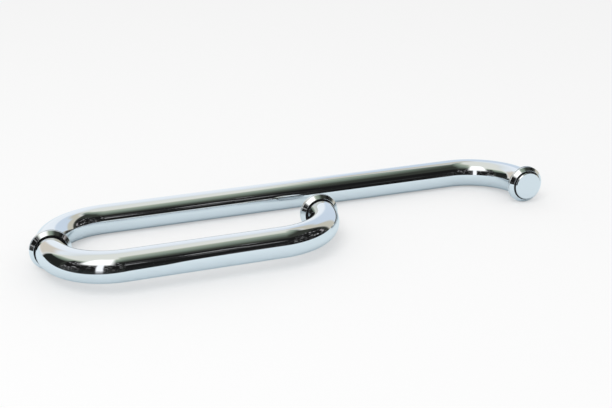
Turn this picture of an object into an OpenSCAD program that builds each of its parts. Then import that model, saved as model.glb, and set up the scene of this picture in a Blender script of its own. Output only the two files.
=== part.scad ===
// Towel bar and pull handle for a glass shower door, fixed back to back through the glass.
// The set lies flat with no glass in it, so each pair of rings is drawn up rim to rim.
// X runs along the bar, Y through the glass towards the towel bar, and Z is up.
// The origin is the centre of the left fixing, on the middle plane of the glass.

/* [Layout] */
// Distance between the towel bar's two fixings
bar_centres = 425; // [350:5:600]
// Distance between the pull handle's two fixings
handle_centres = 225; // [150:5:300]

/* [Tubes] */
// Outside diameter of both tubes and of the caps
tube_d = 25; // [22:0.5:28]
// Wall of both tubes
tube_wall = 1.2; // [0.8:0.1:1.5]
// Radius of the bends, measured to the tube's axis
bend_r = 50; // [40:1:70]
// Straight length at each end of the towel bar's tube, before its bend
bar_leg = 2; // [2:0.5:30]
// Straight length at each end of the pull handle's tube, before its bend
handle_leg = 2; // [2:0.5:30]

/* [Rings] */
// Diameter of a ring's rim
ring_d = 33; // [31:0.5:40]
// Height of a ring, from its pad to its lip
ring_h = 4; // [3.4:0.1:5]
// Height of a ring's straight rim, where its taper starts
rim_h = 1; // [0.6:0.1:1.6]
// Thickness of a ring's floor, under the end of the tube
ring_floor = 2; // [1.4:0.1:2.4]
// Width of the flat lip round a ring's mouth
lip_w = 0.2; // [0.1:0.05:0.4]
// Bevel on the edge of a ring's rim, next to the pad
rim_bevel = 0.2; // [0.1:0.05:0.3]

/* [Seals, pads and bushes] */
// Wall of the black seal between a ring and its tube or cap
seal_wall = 0.9; // [0.6:0.1:1.2]
// Thickness of the seal's floor, under the end of the tube
seal_floor = 0.5; // [0.3:0.1:0.8]
// Depth of the seal's edge below the ring's lip
seal_drop = 0.3; // [0.1:0.1:0.6]
// Thickness of the pad between a ring and the glass
pad_t = 0.5; // [0.3:0.1:0.9]
// Distance from the pad's edge to the ring's rim
pad_inset = 0.4; // [0.2:0.1:0.8]
// Diameter of the hole drilled in the glass, which the bush fills
glass_hole_d = 12; // [11:0.5:14]

/* [Studs, inserts and caps] */
// Thread diameter of the stud and of the cap shanks
stud_d = 8; // [6:0.5:8]
// Length of the threaded insert in a tube's end
insert_len = 11; // [9.5:0.5:12]
// Height of an insert's head, which fills the tube
insert_head_h = 2; // [1:0.5:3]
// Radial step from an insert's head to its neck, which clears the bend
insert_step = 1.3; // [1:0.1:2]
// Height of a cap, from its seat to its face
cap_h = 4; // [3:0.1:6]
// Bevel round a cap's face
cap_bevel = 0.75; // [0.4:0.05:1]
// Thread diameter of the grub screw that locks the handle to the shared stud
grub_d = 5; // [4:0.5:6]
// Distance from the end of the handle's tube to the grub screw's axis
grub_from_end = 7; // [6:0.5:7.5]
// Width across flats of the grub screw's hexagon socket
grub_hex = 2.5; // [2:0.1:3]
// Depth of the grub screw's hexagon socket
grub_socket = 2.5; // [2:0.1:3.5]
// Depth of the grub screw's end below the tube's surface
grub_sink = 0.4; // [0.2:0.1:1]

/* [Clearances] */
// Radial clearance between a thread and its hole
thread_gap = 0.05; // [0.02:0.01:0.1]
// Radial clearance between an insert and its tube
insert_gap = 0.05; // [0.02:0.01:0.1]
// Radial clearance on each side of a seal's wall
seal_gap = 0.05; // [0.02:0.01:0.1]
// Radial clearance of a bush in the hole in the glass
bush_gap = 0.1; // [0.05:0.05:0.3]
// Radial clearance between the hole in the glass and the holes in rings and pads
bore_gap = 0.2; // [0.1:0.1:0.5]
// Clearance at each end of a bush, stud or shank
end_gap = 0.2; // [0.1:0.1:0.5]

/* [Hidden] */
$fn = 64;

// The two sides of the glass
bar_side = 1;
handle_side = -1;

// Places of the three fixings along the bar
left_x = 0;
middle_x = handle_centres;
right_x = bar_centres;

// Radii
tube_r = tube_d / 2;
rim_r = ring_d / 2;
stud_r = stud_d / 2;
bush_r = glass_hole_d / 2 - bush_gap;
bore_r = glass_hole_d / 2 + bore_gap;
seal_r = tube_r + seal_gap + seal_wall;
recess_r = seal_r + seal_gap;
lip_r = recess_r + lip_w;
thread_hole_r = stud_r + thread_gap;
insert_r = tube_r - tube_wall - insert_gap;

// Heights above the glass plane, on either side of it
floor_z = pad_t + ring_floor;
seat_z = floor_z + seal_floor;
lip_z = pad_t + ring_h;
insert_end_z = seat_z + insert_len;

// Puts a piece at a fixing, with its own Z pointing away from the glass
module at_fixing(x, side) translate([x, 0, 0]) rotate([-90 * side, 0, 0]) children();

module tube_section() difference() {
    circle(r = tube_r);
    circle(r = tube_r - tube_wall);
}

// One end of a bent tube: the short straight leg and the quarter bend that follows it
module tube_end(leg) {
    translate([0, seat_z, 0]) rotate([-90, 0, 0]) linear_extrude(leg) tube_section();
    translate([bend_r, seat_z + leg, 0]) rotate([0, 0, 90])
        rotate_extrude(angle = 90) translate([bend_r, 0]) tube_section();
}

// A tube bent to a wide U, from one fixing to the other, on the bar's side of the glass
module bent_tube(centres, leg) {
    tube_end(leg);
    translate([centres, 0, 0]) mirror([1, 0, 0]) tube_end(leg);
    translate([bend_r, seat_z + leg + bend_r, 0]) rotate([0, 90, 0])
        linear_extrude(centres - 2 * bend_r) tube_section();
}

// The grub screw's hole, from the shared stud out through the underside of the handle's end
module grub_hole() translate([0, -seat_z - grub_from_end, 0]) rotate([180, 0, 0])
    cylinder(r = grub_d / 2 + thread_gap, h = 2 * tube_r);

module towel_bar_tube() color("silver") bent_tube(bar_centres, bar_leg);

module pull_handle_tube() color("silver") difference() {
    mirror([0, 1, 0]) bent_tube(handle_centres, handle_leg);
    grub_hole();
}

// Threaded insert: a head that fills the tube's straight end and a neck that clears the bend
module insert() color("gray") rotate_extrude() polygon([
    [thread_hole_r, seat_z],
    [insert_r, seat_z],
    [insert_r, seat_z + insert_head_h],
    [insert_r - insert_step, seat_z + insert_head_h],
    [insert_r - insert_step, insert_end_z],
    [thread_hole_r, insert_end_z]
]);

module bar_insert_left() at_fixing(left_x, bar_side) insert();
module bar_insert_right() at_fixing(right_x, bar_side) insert();
module handle_insert_middle() at_fixing(middle_x, handle_side) insert();
module handle_insert_left() difference() {
    at_fixing(left_x, handle_side) insert();
    grub_hole();
}

// Turned ring: a bevelled rim, a tapered face up to the lip, and a recess for the tube or cap
module ring() color("lightsteelblue") rotate_extrude() polygon([
    [bore_r, pad_t],
    [rim_r - rim_bevel, pad_t],
    [rim_r, pad_t + rim_bevel],
    [rim_r, pad_t + rim_h],
    [lip_r, lip_z],
    [recess_r, lip_z],
    [recess_r, floor_z],
    [bore_r, floor_z]
]);

module bar_ring_left() at_fixing(left_x, bar_side) ring();
module handle_ring_left() at_fixing(left_x, handle_side) ring();
module cap_ring_middle() at_fixing(middle_x, bar_side) ring();
module handle_ring_middle() at_fixing(middle_x, handle_side) ring();
module bar_ring_right() at_fixing(right_x, bar_side) ring();
module cap_ring_right() at_fixing(right_x, handle_side) ring();

// Black seal, a shallow cup that the end of the tube or cap sits in
module seal() color("black") rotate_extrude() polygon([
    [bore_r, floor_z],
    [seal_r, floor_z],
    [seal_r, lip_z - seal_drop],
    [tube_r + seal_gap, lip_z - seal_drop],
    [tube_r + seal_gap, seat_z],
    [bore_r, seat_z]
]);

module bar_seal_left() at_fixing(left_x, bar_side) seal();
module handle_seal_left() at_fixing(left_x, handle_side) seal();
module cap_seal_middle() at_fixing(middle_x, bar_side) seal();
module handle_seal_middle() at_fixing(middle_x, handle_side) seal();
module bar_seal_right() at_fixing(right_x, bar_side) seal();
module cap_seal_right() at_fixing(right_x, handle_side) seal();

// Clear pad that keeps a ring off the glass
module pad() color("gainsboro") linear_extrude(pad_t) difference() {
    circle(r = rim_r - pad_inset);
    circle(r = bore_r);
}

module bar_pad_left() at_fixing(left_x, bar_side) pad();
module handle_pad_left() at_fixing(left_x, handle_side) pad();
module cap_pad_middle() at_fixing(middle_x, bar_side) pad();
module handle_pad_middle() at_fixing(middle_x, handle_side) pad();
module bar_pad_right() at_fixing(right_x, bar_side) pad();
module cap_pad_right() at_fixing(right_x, handle_side) pad();

// Sleeve that keeps the stud off the edge of the hole in the glass
module bush(x) color("white") at_fixing(x, bar_side)
    linear_extrude(2 * (seat_z - end_gap), center = true) difference() {
        circle(r = bush_r);
        circle(r = thread_hole_r);
    }

module bush_left() bush(left_x);
module bush_middle() bush(middle_x);
module bush_right() bush(right_x);

// Stud through the glass, shared by the bar and the handle
module stud_left() color("darkgray") at_fixing(left_x, bar_side)
    cylinder(r = stud_r, h = 2 * (insert_end_z - end_gap), center = true);

// Flat cap with its threaded shank, which reaches through the glass to the insert beyond
module cap() color("silver") rotate_extrude() polygon([
    [0, end_gap - insert_end_z],
    [stud_r, end_gap - insert_end_z],
    [stud_r, seat_z],
    [tube_r, seat_z],
    [tube_r, seat_z + cap_h - cap_bevel],
    [tube_r - cap_bevel, seat_z + cap_h],
    [0, seat_z + cap_h]
]);

module cap_middle() at_fixing(middle_x, bar_side) cap();
module cap_right() at_fixing(right_x, handle_side) cap();

// Grub screw with a hexagon socket, from the underside of the handle's left end to the stud
module grub_screw() color("dimgray") {
    tip = stud_r + thread_gap;
    head = tube_r - grub_sink;
    translate([left_x, -seat_z - grub_from_end, 0]) rotate([180, 0, 0]) difference() {
        translate([0, 0, tip]) cylinder(r = grub_d / 2, h = head - tip);
        translate([0, 0, head - grub_socket])
            cylinder(d = grub_hex / cos(30), h = grub_socket + grub_sink, $fn = 6);
    }
}

towel_bar_tube();
pull_handle_tube();
bar_insert_left();
bar_insert_right();
handle_insert_left();
handle_insert_middle();
bar_ring_left();
handle_ring_left();
cap_ring_middle();
handle_ring_middle();
bar_ring_right();
cap_ring_right();
bar_seal_left();
handle_seal_left();
cap_seal_middle();
handle_seal_middle();
bar_seal_right();
cap_seal_right();
bar_pad_left();
handle_pad_left();
cap_pad_middle();
handle_pad_middle();
bar_pad_right();
cap_pad_right();
bush_left();
bush_middle();
bush_right();
stud_left();
cap_middle();
cap_right();
grub_screw();
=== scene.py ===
"""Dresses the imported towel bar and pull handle: chrome tubes, turned rings and caps, black seals and a pale studio."""
from math import asin, atan2, cos, hypot, pi, radians, sin, sqrt, tan

import bpy
from bpy.props import FloatProperty, FloatVectorProperty, IntProperty, PointerProperty
from bpy.types import Operator, Panel, PropertyGroup
from mathutils import Matrix, Vector


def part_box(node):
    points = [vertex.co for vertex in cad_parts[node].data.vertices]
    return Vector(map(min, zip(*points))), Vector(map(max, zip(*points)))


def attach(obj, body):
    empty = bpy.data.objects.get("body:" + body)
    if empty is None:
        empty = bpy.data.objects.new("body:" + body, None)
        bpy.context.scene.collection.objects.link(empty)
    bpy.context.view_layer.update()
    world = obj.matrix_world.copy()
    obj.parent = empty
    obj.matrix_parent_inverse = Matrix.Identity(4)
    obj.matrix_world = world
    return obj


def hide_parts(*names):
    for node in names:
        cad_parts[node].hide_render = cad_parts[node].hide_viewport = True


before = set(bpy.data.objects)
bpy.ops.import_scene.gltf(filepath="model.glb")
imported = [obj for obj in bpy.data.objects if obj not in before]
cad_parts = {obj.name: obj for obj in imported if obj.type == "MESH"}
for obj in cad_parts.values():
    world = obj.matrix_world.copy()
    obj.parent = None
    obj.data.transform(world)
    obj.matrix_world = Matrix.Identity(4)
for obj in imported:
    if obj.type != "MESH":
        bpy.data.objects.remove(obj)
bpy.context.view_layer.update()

bl_info = {
    "name": "Glass Door Bar and Handle",
    "version": (1, 0, 0),
    "blender": (4, 5, 0),
    "location": "3D View > Sidebar > Door Set",
    "description": "Polished tubes, rings, caps, seals and studio for a back-to-back glass door set",
    "category": "Object",
}

BODY = "root"
MM = 0.001

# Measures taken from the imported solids
BAR_LOW, BAR_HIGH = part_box("towel_bar_tube")
HANDLE_LOW, HANDLE_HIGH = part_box("pull_handle_tube")
RING_LOW, RING_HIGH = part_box("bar_ring_left")
SEAL_LOW, SEAL_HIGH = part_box("bar_seal_left")
PAD_LOW, PAD_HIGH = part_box("bar_pad_left")
CAP_LOW, CAP_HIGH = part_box("cap_middle")
STUD_LOW, STUD_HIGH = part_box("stud_left")
INSERT_LOW, INSERT_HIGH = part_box("bar_insert_left")
BUSH_LOW, BUSH_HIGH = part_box("bush_left")
SCREW_LOW, SCREW_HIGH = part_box("grub_screw")

TUBE_R = BAR_HIGH.z
SEAT = BAR_LOW.y
BAR_SIDE = 1
HANDLE_SIDE = -1
LEFT_X = 0.0
MIDDLE_X = HANDLE_HIGH.x - TUBE_R
RIGHT_X = BAR_HIGH.x - TUBE_R

# Each fixing's pieces: the first word of their names, where the fixing is, and the side of the glass
FIXINGS = (
    ("bar", "left", LEFT_X, BAR_SIDE),
    ("handle", "left", LEFT_X, HANDLE_SIDE),
    ("cap", "middle", MIDDLE_X, BAR_SIDE),
    ("handle", "middle", MIDDLE_X, HANDLE_SIDE),
    ("bar", "right", RIGHT_X, BAR_SIDE),
    ("cap", "right", RIGHT_X, HANDLE_SIDE),
)


class DoorSetTubes(PropertyGroup):
    """Sizes of the two bent tubes"""
    wall: FloatProperty(
        name="Wall", description="Wall of both tubes",
        default=1.2 * MM, min=0.5 * MM, unit="LENGTH", precision=4)
    bend_radius: FloatProperty(
        name="Bend radius", description="Radius of the bends, measured to the tube's axis",
        default=50 * MM, min=30 * MM, unit="LENGTH", precision=4)
    sides: IntProperty(
        name="Sides", description="Faces round a tube", default=128, min=32)
    bend_steps: IntProperty(
        name="Steps in a bend", description="Faces along each quarter bend", default=72, min=12)
    straight_steps: IntProperty(
        name="Steps in a straight", description="Faces along the straight middle of a tube", default=24, min=1)


class DoorSetRings(PropertyGroup):
    """Sizes of the turned rings, their seals and their pads"""
    rim_height: FloatProperty(
        name="Rim height", description="Height of a ring's straight rim",
        default=1.0 * MM, unit="LENGTH", precision=4)
    lip_width: FloatProperty(
        name="Lip width", description="Width of the flat lip round a ring's mouth",
        default=0.2 * MM, unit="LENGTH", precision=4)
    gap: FloatProperty(
        name="Fitting gap", description="Gap on each side of a seal's wall",
        default=0.05 * MM, unit="LENGTH", precision=5)
    edge_round: FloatProperty(
        name="Edge round", description="Radius of the polished-over edges of rings and caps",
        default=0.12 * MM, unit="LENGTH", precision=5)
    rim_bevel: FloatProperty(
        name="Rim bevel", description="Bevel on a ring's edge next to the pad",
        default=0.2 * MM, unit="LENGTH", precision=4)
    bore: FloatProperty(
        name="Bore radius", description="Radius of the hole in rings, seals and pads",
        default=6.2 * MM, unit="LENGTH", precision=4)
    cap_bevel: FloatProperty(
        name="Cap bevel", description="Bevel round a cap's face",
        default=0.75 * MM, unit="LENGTH", precision=4)
    sides: IntProperty(
        name="Sides", description="Faces round a turned piece", default=160, min=32)


class DoorSetFinish(PropertyGroup):
    """Colours and gloss of the set"""
    chrome: FloatVectorProperty(
        name="Chrome", description="Colour of the polished chrome",
        subtype="COLOR", size=3, min=0, max=1, default=(0.78, 0.80, 0.82))
    chrome_roughness: FloatProperty(
        name="Chrome roughness", description="Roughness of the cleanest chrome",
        subtype="FACTOR", min=0, max=1, default=0.025)
    rubber: FloatVectorProperty(
        name="Rubber", description="Colour of the black seals",
        subtype="COLOR", size=3, min=0, max=1, default=(0.012, 0.012, 0.014))
    pad: FloatVectorProperty(
        name="Pad", description="Colour of the clear pads between ring and glass",
        subtype="COLOR", size=3, min=0, max=1, default=(0.55, 0.60, 0.62))


class DoorSetStudio(PropertyGroup):
    """Floor, light and camera"""
    sheet: FloatVectorProperty(
        name="Sheet", description="Colour of the pale floor as the chrome shows it",
        subtype="COLOR", size=3, min=0, max=1, default=(0.83, 0.94, 0.99))
    shadow_share: FloatProperty(
        name="Shadow share", description="How much of the floor's brightness its shadows can take away",
        subtype="FACTOR", min=0, max=1, default=0.6)
    world_share: FloatProperty(
        name="World share", description="Brightness of the all-round light",
        min=0, max=1, default=0.8)
    key_share: FloatProperty(
        name="Key share", description="Brightness that the key lamp adds to a surface that faces it",
        min=0, max=1, default=0.25)
    lens: FloatProperty(
        name="Lens", description="Focal length of the camera for a 36 mm sensor",
        min=1, default=60.437)
    camera_place: FloatVectorProperty(
        name="Camera place", description="Where the camera stands",
        subtype="TRANSLATION", size=3, precision=5, default=(-0.05147, -0.77956, 0.29656))
    camera_turn: FloatVectorProperty(
        name="Camera turn", description="The camera's rotation",
        subtype="EULER", size=3, precision=5,
        default=(radians(70.7547), radians(1.2668), radians(-19.2195)))


class DoorSetSettings(PropertyGroup):
    """All settings of the door set"""
    tubes: PointerProperty(type=DoorSetTubes)
    rings: PointerProperty(type=DoorSetRings)
    finish: PointerProperty(type=DoorSetFinish)
    studio: PointerProperty(type=DoorSetStudio)


def build_mesh(name, points, faces, normals):
    """A smooth mesh with a true normal at each face corner, so that a mirror finish shows no facets"""
    mesh = bpy.data.meshes.new(name)
    mesh.from_pydata(points, [], faces)
    mesh.shade_smooth()
    mesh.normals_split_custom_set(normals)
    return mesh


def add_piece(name, mesh, material, node):
    """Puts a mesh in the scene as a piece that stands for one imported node"""
    piece = bpy.data.objects.new(name, mesh)
    bpy.context.scene.collection.objects.link(piece)
    mesh.materials.append(material)
    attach(piece, BODY)
    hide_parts(node)
    return piece


def fixing_frame(x, side):
    """Places a turned piece, whose own Z points away from the glass, at a fixing"""
    return Matrix.Translation((x, 0, 0)) @ Matrix.Rotation(-side * pi / 2, 4, "X")


def rounded_edges(corners, closed, steps=5):
    """Splits an outline of (radius, height, round) corners into edges, each a start and an end with its normal"""
    count = len(corners)
    points = [Vector(corner[:2]) for corner in corners]
    spans = count if closed else count - 1
    along = [(points[(i + 1) % count] - points[i]).normalized() for i in range(spans)]
    outward = [Vector((step.y, -step.x)) for step in along]
    arcs = []
    for i, (point, corner) in enumerate(zip(points, corners)):
        inner = closed or 0 < i < count - 1
        if not inner or corner[2] == 0:
            arcs.append([point])
            continue
        before, after = outward[i - 1], outward[i % spans]
        turn = before.angle_signed(after)
        convex = 1 if along[i - 1].cross(along[i % spans]) > 0 else -1
        start = point - along[i - 1] * corner[2] * tan(abs(turn) / 2)
        centre = start - before * corner[2] * convex
        turned = [before.slerp(after, k / steps) for k in range(steps + 1)]
        arcs.append([(centre + normal * corner[2] * convex, normal) for normal in turned])
    edges = []
    for i in range(spans):
        this, following = arcs[i], arcs[(i + 1) % count]
        start = this[-1][0] if isinstance(this[-1], tuple) else this[-1]
        end = following[0][0] if isinstance(following[0], tuple) else following[0]
        edges.append((start, outward[i], end, outward[i]))
        if len(following) > 1:
            edges += [(a, na, b, nb) for (a, na), (b, nb) in zip(following, following[1:])]
    return edges


def turned_mesh(name, corners, closed, sides, place):
    """A piece turned on a lathe: its outline of (radius, height, round) corners swept round its axis"""
    edges = rounded_edges(corners, closed)
    rows = [edge[0] for edge in edges] + ([] if closed else [edges[-1][2]])
    angles = [2 * pi * j / sides for j in range(sides)]
    points = []
    index = []
    for row in rows:
        on_axis = row.x < 1e-9
        index.append([len(points) + (0 if on_axis else j) for j in range(sides)])
        points += [place @ Vector((row.x * cos(a), row.x * sin(a), row.y)) for a in angles[:1 if on_axis else sides]]
    turn = place.to_3x3()
    faces = []
    normals = []
    for i, (_, start_normal, _, end_normal) in enumerate(edges):
        lower, upper = index[i], index[(i + 1) % len(rows)]
        for j in range(sides):
            k = (j + 1) % sides
            ring = [(lower[j], start_normal, j), (lower[k], start_normal, k),
                    (upper[k], end_normal, k), (upper[j], end_normal, j)]
            face = []
            for corner in ring:
                if corner[0] not in [kept[0] for kept in face]:
                    face.append(corner)
            faces.append([corner[0] for corner in face])
            normals += [turn @ Vector((n.x * cos(angles[m]), n.x * sin(angles[m]), n.y)) for _, n, m in face]
    return build_mesh(name, points, faces, normals)


def tube_route(centres, side, sizes):
    """Points and directions along a tube's axis, from its left end to its right end"""
    reach = BAR_HIGH.y - TUBE_R
    leg = reach - SEAT - sizes.bend_radius
    runs = (
        (leg, 0, 2),
        (sizes.bend_radius, 1, sizes.bend_steps),
        (centres - 2 * sizes.bend_radius, 0, sizes.straight_steps),
        (sizes.bend_radius, 1, sizes.bend_steps),
        (leg, 0, 2),
    )
    place = Vector((0, SEAT, 0))
    heading = pi / 2
    route = [(place.copy(), heading)]
    for length, bends, steps in runs:
        for _ in range(steps):
            if bends:
                turn = pi / 2 / steps
                place += 2 * length * sin(turn / 2) * Vector((cos(heading - turn / 2), sin(heading - turn / 2), 0))
                heading -= turn
            else:
                place += length / steps * Vector((cos(heading), sin(heading), 0))
            route.append((place.copy(), heading))
    return [(Vector((p.x, side * p.y, 0)), Vector((cos(h), side * sin(h), 0))) for p, h in route]


def nearest_axis_point(point, side, sizes):
    """The nearest point on a tube's axis, near its left end"""
    bend_start = BAR_HIGH.y - TUBE_R - sizes.bend_radius
    if side * point.y < bend_start:
        return Vector((0, point.y, 0))
    centre = Vector((sizes.bend_radius, side * bend_start, 0))
    return centre + (Vector((point.x, point.y, 0)) - centre).normalized() * sizes.bend_radius


def tube_mesh(name, centres, side, sizes, hole=None):
    """A bent tube with its wall; hole is the place and radius of a round hole in its underside"""
    route = tube_route(centres, side, sizes)
    sides = sizes.sides
    up = Vector((0, 0, 1))
    skins = []
    for radius, outward in ((TUBE_R, 1), (TUBE_R - sizes.wall, -1)):
        points, normals = [], []
        for centre, along in route:
            across = along.cross(up)
            for j in range(sides):
                angle = 2 * pi * j / sides
                normal = across * cos(angle) + up * sin(angle)
                points.append(centre + normal * radius)
                normals.append(normal * outward)
        skins.append((points, normals, radius, outward))

    def corner(i, j):
        return i * sides + j % sides

    cells = [(i, j) for i in range(len(route) - 1) for j in range(sides)]
    cut = set()
    if hole:
        place, hole_radius = hole
        outer = skins[0][0]

        def distance(k):
            return hypot(outer[k].x - place.x, outer[k].y - place.y) if outer[k].z < 0 else 1

        cut = {(i, j) for i, j in cells if min(
            distance(corner(i, j)), distance(corner(i + 1, j)),
            distance(corner(i + 1, j + 1)), distance(corner(i, j + 1))) < hole_radius}
    kept = [cell for cell in cells if cell not in cut]
    kept_corners = {corner(i + a, j + b) for i, j in kept for a in (0, 1) for b in (0, 1)}
    rim = {corner(i + a, j + b) for i, j in cut for a in (0, 1) for b in (0, 1)} & kept_corners
    for points, normals, radius, outward in skins:
        for k in rim:
            away = Vector((points[k].x - place.x, points[k].y - place.y, 0)).normalized()
            edge = Vector((place.x, place.y, 0)) + away * hole_radius
            axis = nearest_axis_point(edge, side, sizes)
            edge.z = -sqrt(radius ** 2 - (edge - axis).length_squared)
            points[k] = edge
            normals[k] = (edge - axis).normalized() * outward

    used = sorted(kept_corners)
    outer_index = {k: n for n, k in enumerate(used)}
    inner_index = {k: n + len(used) for n, k in enumerate(used)}
    points = [skins[0][0][k] for k in used] + [skins[1][0][k] for k in used]
    faces, face_normals = [], []

    def add(face, own_normals):
        faces.append(face)
        face_normals.extend(own_normals)

    for i, j in kept:
        ring = [corner(i, j), corner(i + 1, j), corner(i + 1, j + 1), corner(i, j + 1)]
        add([outer_index[k] for k in ring], [skins[0][1][k] for k in ring])
        ring.reverse()
        add([inner_index[k] for k in ring], [skins[1][1][k] for k in ring])
    for i, outward in ((0, -1), (len(route) - 1, 1)):
        for j in range(sides):
            a, b = corner(i, j), corner(i, j + 1)
            ring = [outer_index[a], outer_index[b], inner_index[b], inner_index[a]]
            add(ring if outward < 0 else ring[::-1], [route[i][1] * outward] * 4)
    for i, j in cut:
        for (a, b), beyond in (
                ((corner(i, j), corner(i + 1, j)), (i, j - 1)),
                ((corner(i + 1, j), corner(i + 1, j + 1)), (i + 1, j)),
                ((corner(i + 1, j + 1), corner(i, j + 1)), (i, j + 1)),
                ((corner(i, j + 1), corner(i, j)), (i - 1, j))):
            if (beyond[0], beyond[1] % sides) in cut:
                continue
            own = [Vector((place.x - points[outer_index[k]].x, place.y - points[outer_index[k]].y, 0)).normalized()
                   for k in (a, b)]
            add([outer_index[a], outer_index[b], inner_index[b], inner_index[a]], [own[0], own[1], own[1], own[0]])
    return build_mesh(name, points, faces, face_normals)


def ring_corners(sizes):
    """Outline of a turned ring: bevelled rim, tapered face, flat lip and the recess for the tube or cap"""
    low, high = RING_LOW.y, RING_HIGH.y
    rim = RING_HIGH.z
    recess = SEAL_HIGH.z + sizes.gap
    edge = sizes.edge_round
    return [
        (sizes.bore, low, 0),
        (rim - sizes.rim_bevel, low, edge),
        (rim, low + sizes.rim_bevel, edge),
        (rim, low + sizes.rim_height, 3 * edge),
        (recess + sizes.lip_width, high, edge / 2),
        (recess, high, edge / 2),
        (recess, SEAL_LOW.y, 0),
        (sizes.bore, SEAL_LOW.y, 0),
    ]


def seal_corners(sizes):
    """Outline of a black seal: a shallow cup with a softly rounded edge"""
    inside = TUBE_R + sizes.gap
    outside = SEAL_HIGH.z
    edge = (outside - inside) * 0.4
    return [
        (sizes.bore, SEAL_LOW.y, 0),
        (outside, SEAL_LOW.y, 0),
        (outside, SEAL_HIGH.y, edge),
        (inside, SEAL_HIGH.y, edge),
        (inside, SEAT, 0),
        (sizes.bore, SEAT, 0),
    ]


def pad_corners(sizes):
    """Outline of a clear pad with a soft edge"""
    edge = (PAD_HIGH.y - PAD_LOW.y) * 0.3
    return [
        (sizes.bore, PAD_LOW.y, 0),
        (PAD_HIGH.z, PAD_LOW.y, edge),
        (PAD_HIGH.z, PAD_HIGH.y, edge),
        (sizes.bore, PAD_HIGH.y, 0),
    ]


def cap_corners(sizes):
    """Outline of a cap: its shank, the seat, the side and the bevelled face"""
    edge = sizes.edge_round
    face = CAP_HIGH.y
    return [
        (0, CAP_LOW.y, 0),
        (STUD_HIGH.z, CAP_LOW.y, 2 * edge),
        (STUD_HIGH.z, SEAT, 0),
        (TUBE_R, SEAT, 0),
        (TUBE_R, face - sizes.cap_bevel, edge),
        (TUBE_R - sizes.cap_bevel, face, edge),
        (0, face, 0),
    ]


def add_node(tree, kind, inputs=None, **settings):
    """Adds a shader node, sets it up and joins its inputs, given as values or as other nodes' outputs"""
    made = tree.nodes.new("ShaderNode" + kind)
    for key, value in settings.items():
        setattr(made, key, value)
    for key, value in (inputs or {}).items():
        if isinstance(value, bpy.types.NodeSocket):
            tree.links.new(value, made.inputs[key])
        else:
            made.inputs[key].default_value = value
    return made


def new_material(name):
    """An empty node material with its output node"""
    material = bpy.data.materials.new(name)
    material.use_nodes = True
    material.node_tree.nodes.clear()
    return material, material.node_tree, add_node(material.node_tree, "OutputMaterial")


def spread(tree, value, low, high):
    """Spreads a value of 0 to 1 over another range"""
    return add_node(tree, "MapRange", {"Value": value, "To Min": low, "To Max": high}).outputs["Result"]


def noise(tree, place, scale, detail=3.0):
    """Noise over the piece's own coordinates; scale is in cells per metre"""
    return add_node(tree, "TexNoise", {"Vector": place, "Scale": scale, "Detail": detail}).outputs["Fac"]


def bump(tree, height, depth):
    """Bump of a real depth, in metres"""
    return add_node(tree, "Bump", {"Height": height, "Strength": 1.0, "Distance": depth}).outputs["Normal"]


def chrome_material(name, settings):
    """Bright chrome plate: a clean mirror with faint haze and the slight waviness of polished metal"""
    material, tree, output = new_material(name)
    place = add_node(tree, "TexCoord").outputs["Object"]
    haze = noise(tree, place, 90, 5)
    waviness = noise(tree, place, 55, 1)
    shader = add_node(tree, "BsdfPrincipled", {
        "Base Color": (*settings.chrome, 1),
        "Metallic": 1.0,
        "Roughness": spread(tree, haze, settings.chrome_roughness, 2.5 * settings.chrome_roughness),
        "Normal": bump(tree, waviness, 0.00002),
    })
    tree.links.new(shader.outputs["BSDF"], output.inputs["Surface"])
    return material


def rubber_material(name, settings):
    """Black rubber with a fine moulded grain"""
    material, tree, output = new_material(name)
    place = add_node(tree, "TexCoord").outputs["Object"]
    grain = noise(tree, place, 2500)
    shader = add_node(tree, "BsdfPrincipled", {
        "Base Color": (*settings.rubber, 1),
        "Roughness": spread(tree, grain, 0.5, 0.75),
        "Normal": bump(tree, grain, 0.00005),
    })
    tree.links.new(shader.outputs["BSDF"], output.inputs["Surface"])
    return material


def pad_material(name, settings):
    """Milky clear plastic, a little cloudy"""
    material, tree, output = new_material(name)
    place = add_node(tree, "TexCoord").outputs["Object"]
    cloud = noise(tree, place, 700)
    shader = add_node(tree, "BsdfPrincipled", {
        "Base Color": (*settings.pad, 1),
        "Roughness": spread(tree, cloud, 0.25, 0.4),
        "Normal": bump(tree, cloud, 0.00003),
    })
    tree.links.new(shader.outputs["BSDF"], output.inputs["Surface"])
    return material


def plain_metal_material(name, colour, low, high):
    """Turned steel with fine tool marks"""
    material, tree, output = new_material(name)
    place = add_node(tree, "TexCoord").outputs["Object"]
    marks = noise(tree, place, 4000, 2)
    shader = add_node(tree, "BsdfPrincipled", {
        "Base Color": (*colour, 1),
        "Metallic": 1.0,
        "Roughness": spread(tree, marks, low, high),
        "Normal": bump(tree, marks, 0.00001),
    })
    tree.links.new(shader.outputs["BSDF"], output.inputs["Surface"])
    return material


def nylon_material(name):
    """Natural nylon"""
    material, tree, output = new_material(name)
    place = add_node(tree, "TexCoord").outputs["Object"]
    cloud = noise(tree, place, 900)
    shader = add_node(tree, "BsdfPrincipled", {
        "Base Color": (0.86, 0.85, 0.80, 1),
        "Roughness": spread(tree, cloud, 0.4, 0.55),
        "Normal": bump(tree, cloud, 0.00002),
    })
    tree.links.new(shader.outputs["BSDF"], output.inputs["Surface"])
    return material


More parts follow.
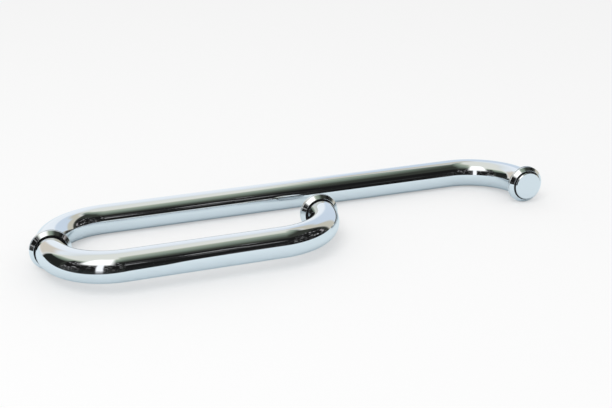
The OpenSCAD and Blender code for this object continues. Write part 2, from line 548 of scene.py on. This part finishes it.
# What stands round the set, as the chrome shows it. Azimuth 0 is +Y and 90 is +X, and elevation 90 is straight up,
# in degrees. The dark room fades into the pale ceiling between two elevations that change with the azimuth.
ROOM_TOP = (
    (-180, 46, 78), (-165, 40, 74), (-120, 38, 60), (-90, 30, 54), (-60, 26, 46), (-40, 0, 30), (30, 10, 50),
    (48, 54, 70), (75, 60, 76), (95, 62, 82), (135, 58, 86), (155, 48, 89), (170, 45, 89), (180, 46, 78),
)
FADE_STOPS = (
    (0.00, (0.045, 0.050, 0.042)),
    (0.14, (0.083, 0.097, 0.078)),
    (0.30, (0.18, 0.22, 0.18)),
    (0.47, (0.29, 0.35, 0.29)),
    (0.63, (0.38, 0.44, 0.36)),
    (0.77, (0.52, 0.56, 0.47)),
    (0.88, (0.76, 0.80, 0.69)),
    (1.00, (0.88, 0.89, 0.83)),
)
BACKDROP_STOPS = (
    (0, (0.98, 1.03, 1.07)),
    (40, (0.95, 1.01, 1.08)),
    (53, (0.88, 0.93, 0.95)),
    (62, (0.82, 0.84, 0.82)),
)
# Each panel has its azimuths, its elevations, the width of its soft edge and its colour
BACKDROP = ((-48, 82), (-90, 61), 7)
PANELS = (
    ((-47, -12), (8, 40), 12, (0.76, 0.70, 0.61)),
    ((30, 84), (-12, 58), 8, (0.66, 0.63, 0.53)),
    ((22, 64), (-20, 46), 9, (0.70, 0.80, 0.92)),
    ((-88, -50), (-30, 31), 4, (0.020, 0.022, 0.020)),
    ((-166, -114), (34, 72), 14, (1.50, 1.50, 1.46)),
    ((-153, -143), (-20, 40), 3, (1.20, 1.22, 1.25)),
    ((95, 99), (12, 25), 4, (0.45, 0.42, 0.42)),
)
CLUTTER = (((-180, -92), (-20, 46), 8), ((92, 180), (-20, 44), 8))


def band(tree, value, low, high, edge):
    """1 where value lies between low and high, falling to 0 over a soft edge"""
    middle, half = (low + high) / 2, (high - low) / 2
    off = add_node(tree, "Math", {0: value, 1: middle}, operation="SUBTRACT").outputs[0]
    wrapped = add_node(tree, "Math", {0: off, 1: 180.0, 2: -180.0}, operation="WRAP").outputs[0]
    distance = add_node(tree, "Math", {0: wrapped}, operation="ABSOLUTE").outputs[0]
    return add_node(tree, "MapRange", {
        "Value": distance, "From Min": half - edge / 2, "From Max": half + edge / 2, "To Min": 1.0, "To Max": 0.0,
    }, interpolation_type="SMOOTHSTEP").outputs["Result"]


def patch(tree, azimuth, elevation, azimuths, elevations, edge):
    """1 inside a patch of the surroundings, with a soft edge"""
    return add_node(tree, "Math", {
        0: band(tree, azimuth, *azimuths, edge), 1: band(tree, elevation, *elevations, edge),
    }, operation="MULTIPLY").outputs[0]


def mix_colour(tree, share, first, second):
    """Mixes two colours, given as values or outputs"""
    made = add_node(tree, "Mix", data_type="RGBA")
    for socket, value in zip((made.inputs[0], made.inputs[6], made.inputs[7]), (share, first, second)):
        if isinstance(value, bpy.types.NodeSocket):
            tree.links.new(value, socket)
        else:
            socket.default_value = value
    return made.outputs[2]


def colour_ramp(tree, value, stops, low, high, interpolation="LINEAR"):
    """A colour for each value, by stops given as (value, colour)"""
    share = add_node(tree, "MapRange", {"Value": value, "From Min": float(low), "From Max": float(high)})
    ramp = add_node(tree, "ValToRGB", {"Fac": share.outputs["Result"]})
    ramp.color_ramp.interpolation = interpolation
    elements = ramp.color_ramp.elements
    while len(elements) < len(stops):
        elements.new(0.5)
    for element, (place, colour) in zip(elements, stops):
        element.position = (place - low) / (high - low)
        element.color = (*colour, 1)
    return ramp.outputs["Color"]


def degrees_of(tree, value):
    return add_node(tree, "Math", {0: value}, operation="DEGREES").outputs[0]


def clutter(tree, azimuth, elevation):
    """Dim boxy shapes, as shelves and furniture look in a polished tube"""
    place = add_node(tree, "CombineXYZ", {0: azimuth, 1: elevation}).outputs[0]
    shapes = []
    for scale, seed in (((0.10, 0.16, 1), 3.0), ((0.30, 0.34, 1), 11.0)):
        mapped = add_node(tree, "Mapping", {"Vector": place, "Scale": scale, "Location": (seed, seed, seed)})
        cells = add_node(tree, "TexVoronoi", {"Vector": mapped.outputs[0], "Scale": 1.0}, distance="CHEBYCHEV")
        level = add_node(tree, "SeparateColor", {0: cells.outputs["Color"]}).outputs[0]
        shapes.append(add_node(tree, "Math", {0: level, 1: 4.0}, operation="POWER").outputs[0])
    total = add_node(tree, "Math", {0: shapes[0], 1: shapes[1]}, operation="MULTIPLY").outputs[0]
    return add_node(tree, "Math", {0: total, 1: 0.9, 2: 0.012}, operation="MULTIPLY_ADD").outputs[0]


def surroundings(tree):
    """The dark room, its window, the pale backdrop and the ceiling, by direction"""
    towards = add_node(tree, "SeparateXYZ", {0: add_node(tree, "TexCoord").outputs["Generated"]}).outputs
    azimuth = degrees_of(tree, add_node(tree, "Math", {0: towards["X"], 1: towards["Y"]}, operation="ARCTAN2").outputs[0])
    elevation = degrees_of(tree, add_node(tree, "Math", {0: towards["Z"]}, operation="ARCSINE").outputs[0])
    tops = [(place, (low / 90, high / 90, 0)) for place, low, high in ROOM_TOP]
    top = add_node(tree, "SeparateColor", {0: colour_ramp(tree, azimuth, tops, -180, 180)}).outputs
    level = add_node(tree, "Math", {0: elevation, 1: 90.0}, operation="DIVIDE").outputs[0]
    fade = add_node(tree, "MapRange", {"Value": level, "From Min": top["Red"], "From Max": top["Green"]})
    colour = colour_ramp(tree, fade.outputs["Result"], FADE_STOPS, 0, 1)
    dim = clutter(tree, azimuth, elevation)
    for azimuths, elevations, edge in CLUTTER:
        colour = mix_colour(tree, patch(tree, azimuth, elevation, azimuths, elevations, edge), colour, dim)
    backdrop = colour_ramp(tree, elevation, BACKDROP_STOPS, 0, 90)
    colour = mix_colour(tree, patch(tree, azimuth, elevation, *BACKDROP), colour, backdrop)
    for azimuths, elevations, edge, paint in PANELS:
        colour = mix_colour(tree, patch(tree, azimuth, elevation, azimuths, elevations, edge), colour, (*paint, 1))
    return colour


def make_world(settings):
    """White light from all round; polished metal sees the room in its place"""
    world = bpy.data.worlds.new("studio")
    world.use_nodes = True
    world.cycles.sampling_method = "NONE"
    tree = world.node_tree
    tree.nodes.clear()
    rays = add_node(tree, "LightPath").outputs
    light = add_node(tree, "Background", {"Color": (1, 1, 1, 1), "Strength": settings.world_share})
    white = add_node(tree, "Background", {"Color": (1, 1, 1, 1), "Strength": 1.0})
    room = add_node(tree, "Background", {"Color": surroundings(tree), "Strength": 1.0})
    seen = add_node(tree, "MixShader", {0: rays["Is Camera Ray"], 1: light.outputs[0], 2: white.outputs[0]})
    shown = add_node(tree, "MixShader", {0: rays["Is Glossy Ray"], 1: seen.outputs[0], 2: room.outputs[0]})
    output = add_node(tree, "OutputWorld")
    tree.links.new(shown.outputs[0], output.inputs["Surface"])
    bpy.context.scene.world = world


# Two lines on the floor, each through a point in millimetres at an angle from +X in degrees. Below the first and
# left of the second the pale sheet ends, and the chrome shows the dark table beyond it.
SHEET_EDGES = (((100, -172), -36), ((100, -172), -73))
EDGE_SOFTNESS = 12 * MM


def rest_angle():
    """Tilt of the floor under the set, which rests on the ring rims and on the underside of the bar"""
    rim_place = Vector((RING_LOW.y + 1.0 * MM, RING_HIGH.z))
    away = BAR_HIGH.y - TUBE_R - rim_place.x
    return atan2(rim_place.y, away) - asin(TUBE_R / hypot(rim_place.y, away))


def floor_material(settings):
    """Pale floor: white to the camera with the shadow kept, and a sheet on a dark table to the chrome"""
    material, tree, output = new_material("pale_floor")
    rays = add_node(tree, "LightPath").outputs
    place = add_node(tree, "SeparateXYZ", {0: add_node(tree, "TexCoord").outputs["Object"]}).outputs
    past = []
    for (x, y), angle in SHEET_EDGES:
        across = (-sin(radians(angle)), cos(radians(angle)))
        along_x = add_node(tree, "Math", {0: place["X"], 1: across[0]}, operation="MULTIPLY").outputs[0]
        along_y = add_node(tree, "Math", {0: place["Y"], 1: across[1]}, operation="MULTIPLY").outputs[0]
        distance = add_node(tree, "Math", {0: along_x, 1: along_y}, operation="ADD").outputs[0]
        edge = (x * across[0] + y * across[1]) * MM
        past.append(add_node(tree, "MapRange", {
            "Value": distance, "From Min": edge + EDGE_SOFTNESS / 2, "From Max": edge - EDGE_SOFTNESS / 2,
        }, interpolation_type="SMOOTHSTEP").outputs["Result"])
    dark = add_node(tree, "Math", {0: past[0], 1: past[1]}, operation="MULTIPLY").outputs[0]
    table = add_node(tree, "BsdfPrincipled", {"Base Color": (0.03, 0.035, 0.035, 1), "Roughness": 0.12})
    white = add_node(tree, "BsdfDiffuse", {"Color": (0.95, 0.95, 0.95, 1)})
    glow = add_node(tree, "Emission", {"Color": (1, 1, 1, 1), "Strength": 1.0})
    sheet = add_node(tree, "BsdfDiffuse", {"Color": (*settings.sheet, 1)})
    seen = add_node(tree, "MixShader", {0: 1 - settings.shadow_share, 1: white.outputs[0], 2: glow.outputs[0]})
    shown = add_node(tree, "MixShader", {0: dark, 1: sheet.outputs[0], 2: table.outputs[0]})
    base = add_node(tree, "MixShader", {0: rays["Is Camera Ray"], 1: white.outputs[0], 2: seen.outputs[0]})
    whole = add_node(tree, "MixShader", {0: rays["Is Glossy Ray"], 1: base.outputs[0], 2: shown.outputs[0]})
    tree.links.new(whole.outputs[0], output.inputs["Surface"])
    return material


def add_floor(settings):
    half = 6.0
    mesh = bpy.data.meshes.new("floor")
    mesh.from_pydata([(-half, -half, 0), (half, -half, 0), (half, half, 0), (-half, half, 0)], [], [(0, 1, 2, 3)])
    mesh.materials.append(floor_material(settings))
    floor = bpy.data.objects.new("floor", mesh)
    bpy.context.scene.collection.objects.link(floor)
    floor.location = (0, RING_LOW.y + 1.0 * MM, RING_LOW.z)
    floor.rotation_euler = (rest_angle(), 0, 0)


def add_key_lamp(settings):
    """A large soft lamp, high on the left, which the chrome doesn't show because the room has a window there"""
    aim = Vector((0.2, 0, 0))
    azimuth, elevation, distance, size = radians(-140), radians(55), 2.0, 1.2
    towards = Vector((sin(azimuth) * cos(elevation), cos(azimuth) * cos(elevation), sin(elevation)))
    data = bpy.data.lights.new("key_lamp", "AREA")
    data.shape = "DISK"
    data.size = size
    data.energy = settings.key_share * pi ** 2 * distance ** 2
    lamp = bpy.data.objects.new("key_lamp", data)
    bpy.context.scene.collection.objects.link(lamp)
    lamp.location = aim + towards * distance
    lamp.rotation_euler = towards.to_track_quat("Z", "Y").to_euler()
    lamp.visible_glossy = False
    lamp.visible_camera = False


def add_camera(settings):
    data = bpy.data.cameras.new("camera")
    data.lens = settings.lens
    data.sensor_width = 36
    data.clip_start = 0.01
    camera = bpy.data.objects.new("camera", data)
    bpy.context.scene.collection.objects.link(camera)
    camera.location = settings.camera_place
    camera.rotation_euler = settings.camera_turn
    bpy.context.scene.camera = camera


class DoorSetTubesOperator(Operator):
    """Bend the towel bar and the pull handle from chromed tube"""
    bl_idname = "door_set.tubes"
    bl_label = "Bend tubes"

    def execute(self, context):
        settings = context.scene.door_set
        chrome = chrome_material("polished_tube", settings.finish)
        bar = tube_mesh("towel_bar", RIGHT_X, BAR_SIDE, settings.tubes)
        add_piece("towel_bar", bar, chrome, "towel_bar_tube")
        hole = (Vector(((SCREW_LOW.x + SCREW_HIGH.x) / 2, (SCREW_LOW.y + SCREW_HIGH.y) / 2)),
                (SCREW_HIGH.x - SCREW_LOW.x) / 2 + settings.rings.gap)
        handle = tube_mesh("pull_handle", MIDDLE_X, HANDLE_SIDE, settings.tubes, hole)
        add_piece("pull_handle", handle, chrome, "pull_handle_tube")
        return {"FINISHED"}


class DoorSetRingsOperator(Operator):
    """Turn the six rings that stand on the glass"""
    bl_idname = "door_set.rings"
    bl_label = "Turn rings"

    def execute(self, context):
        settings = context.scene.door_set
        chrome = chrome_material("polished_ring", settings.finish)
        corners = ring_corners(settings.rings)
        for kind, where, x, side in FIXINGS:
            name = f"{kind}_turned_ring_{where}"
            mesh = turned_mesh(name, corners, True, settings.rings.sides, fixing_frame(x, side))
            add_piece(name, mesh, chrome, f"{kind}_ring_{where}")
        return {"FINISHED"}


class DoorSetCapsOperator(Operator):
    """Turn the two caps that close the fixings with no tube"""
    bl_idname = "door_set.caps"
    bl_label = "Turn caps"

    def execute(self, context):
        settings = context.scene.door_set
        chrome = chrome_material("polished_cap", settings.finish)
        corners = cap_corners(settings.rings)
        for kind, where, x, side in FIXINGS:
            if kind == "cap":
                name = f"turned_cap_{where}"
                mesh = turned_mesh(name, corners, False, settings.rings.sides, fixing_frame(x, side))
                add_piece(name, mesh, chrome, f"cap_{where}")
        return {"FINISHED"}


class DoorSetSealsOperator(Operator):
    """Mould the black seals and the clear pads"""
    bl_idname = "door_set.seals"
    bl_label = "Mould seals and pads"

    def execute(self, context):
        settings = context.scene.door_set
        rubber = rubber_material("black_seal", settings.finish)
        clear = pad_material("clear_pad", settings.finish)
        for kind, where, x, side in FIXINGS:
            place = fixing_frame(x, side)
            seal = f"{kind}_moulded_seal_{where}"
            mesh = turned_mesh(seal, seal_corners(settings.rings), True, settings.rings.sides, place)
            add_piece(seal, mesh, rubber, f"{kind}_seal_{where}")
            pad = f"{kind}_clear_pad_{where}"
            mesh = turned_mesh(pad, pad_corners(settings.rings), True, settings.rings.sides, place)
            add_piece(pad, mesh, clear, f"{kind}_pad_{where}")
        return {"FINISHED"}


class DoorSetInnerPartsOperator(Operator):
    """Finish the inserts, the stud, the bushes and the grub screw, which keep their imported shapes"""
    bl_idname = "door_set.inner_parts"
    bl_label = "Finish inner parts"

    def execute(self, context):
        steel = plain_metal_material("plain_steel", (0.58, 0.57, 0.55), 0.25, 0.4)
        dark_steel = plain_metal_material("black_oxide", (0.10, 0.10, 0.11), 0.3, 0.5)
        nylon = nylon_material("nylon_bush")
        for name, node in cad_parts.items():
            if "insert" in name or name == "stud_left":
                finish = steel
            elif name == "grub_screw":
                finish = dark_steel
            elif "bush" in name:
                finish = nylon
            else:
                continue
            node.data.materials.clear()
            node.data.materials.append(finish)
        return {"FINISHED"}


class DoorSetStageOperator(Operator):
    """Lay the pale floor, light the studio and set up the camera"""
    bl_idname = "door_set.stage"
    bl_label = "Set the stage"

    def execute(self, context):
        settings = context.scene.door_set.studio
        context.scene.view_settings.view_transform = "Standard"
        make_world(settings)
        add_floor(settings)
        add_key_lamp(settings)
        add_camera(settings)
        return {"FINISHED"}


PIECE_OPERATORS = (
    DoorSetTubesOperator,
    DoorSetRingsOperator,
    DoorSetCapsOperator,
    DoorSetSealsOperator,
    DoorSetInnerPartsOperator,
    DoorSetStageOperator,
)


class DoorSetPanel(Panel):
    """Sizes, finishes and steps of the door set"""
    bl_idname = "VIEW3D_PT_door_set"
    bl_label = "Glass Door Set"
    bl_space_type = "VIEW_3D"
    bl_region_type = "UI"
    bl_category = "Door Set"

    def draw(self, context):
        settings = context.scene.door_set
        for group in (settings.tubes, settings.rings, settings.finish, settings.studio):
            box = self.layout.box()
            for name in type(group).__annotations__:
                box.prop(group, name)
        for operator in PIECE_OPERATORS:
            self.layout.operator(operator.bl_idname)


GROUPS = (DoorSetTubes, DoorSetRings, DoorSetFinish, DoorSetStudio, DoorSetSettings)


def register():
    for group in (*GROUPS, *PIECE_OPERATORS, DoorSetPanel):
        bpy.utils.register_class(group)
    bpy.types.Scene.door_set = PointerProperty(type=DoorSetSettings)


def unregister():
    del bpy.types.Scene.door_set
    for group in reversed((*GROUPS, *PIECE_OPERATORS, DoorSetPanel)):
        bpy.utils.unregister_class(group)


def main():
    register()
    bpy.ops.door_set.tubes()
    bpy.ops.door_set.rings()
    bpy.ops.door_set.caps()
    bpy.ops.door_set.seals()
    bpy.ops.door_set.inner_parts()
    bpy.ops.door_set.stage()


if __name__ == "__main__":
    main()
